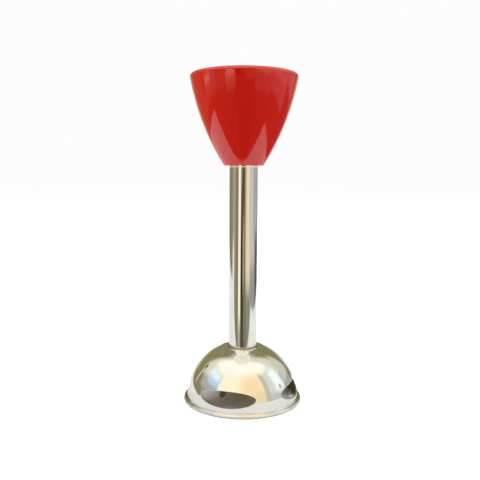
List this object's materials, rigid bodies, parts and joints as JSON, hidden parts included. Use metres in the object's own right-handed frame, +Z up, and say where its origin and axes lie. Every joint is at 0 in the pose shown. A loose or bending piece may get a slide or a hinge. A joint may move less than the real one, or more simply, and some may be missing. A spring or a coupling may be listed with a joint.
{
  "type": "hand blender leg",
  "caption": "Detachable hand blender leg: plastic coupling cone with bayonet socket, steel tube with driven shaft, and domed blade guard with windows over a winged blade.",
  "frame": {"origin": "centre of the plane that the blade guard's rim rests on", "axes": "+Z up along the shaft, out of the socket's mouth; the guard's windows face +X, +Y, -X and -Y"},
  "size_m": [0.0666, 0.0666, 0.1825],
  "materials": {
    "red_plastic": "high gloss",
    "dark_plastic": "fine spark texture",
    "bearing_plastic": "as moulded",
    "dog_plastic": "as moulded",
    "polished_steel": "polished stainless",
    "weld_steel": "blended braze",
    "shaft_steel": "ground",
    "blade_steel": "ground edges",
    "fastener_steel": "zinc plated",
    "bronze": "sintered, oiled",
    "seal_rubber": "matt",
    "felt": "oiled felt"
  },
  "bodies": {
    "leg": {"coupling_cone": "red_plastic", "socket_insert": "dark_plastic", "socket_screws": "fastener_steel", "collar_o_ring": "seal_rubber", "tube_retaining_ring": "fastener_steel", "shaft_tube": "polished_steel", "upper_bearing_carrier": "bearing_plastic", "upper_bush": "bronze", "steady_bush": "bearing_plastic", "lower_bearing_housing": "bearing_plastic", "housing_o_ring": "seal_rubber", "lower_bush": "bronze", "oil_felt": "felt", "felt_retaining_washer": "fastener_steel", "shaft_lip_seal": "seal_rubber", "seal_cap": "polished_steel", "blade_guard": "polished_steel", "weld_ring": "weld_steel"},
    "rotor": {"drive_shaft": "shaft_steel", "drive_dog": "dog_plastic", "dog_cross_pin": "shaft_steel", "upper_thrust_washer": "fastener_steel", "shaft_circlip": "fastener_steel", "lower_thrust_washer": "fastener_steel", "blade_hub": "shaft_steel", "blade": "blade_steel", "blade_nut": "fastener_steel"}
  },
  "joints": [
    {"name": "blade_spin", "type": "hinge", "parent": "leg", "child": "rotor", "pos_m": [0, 0, 0.0108], "axis": [0, 0, 1], "continuous": true}
  ]
}
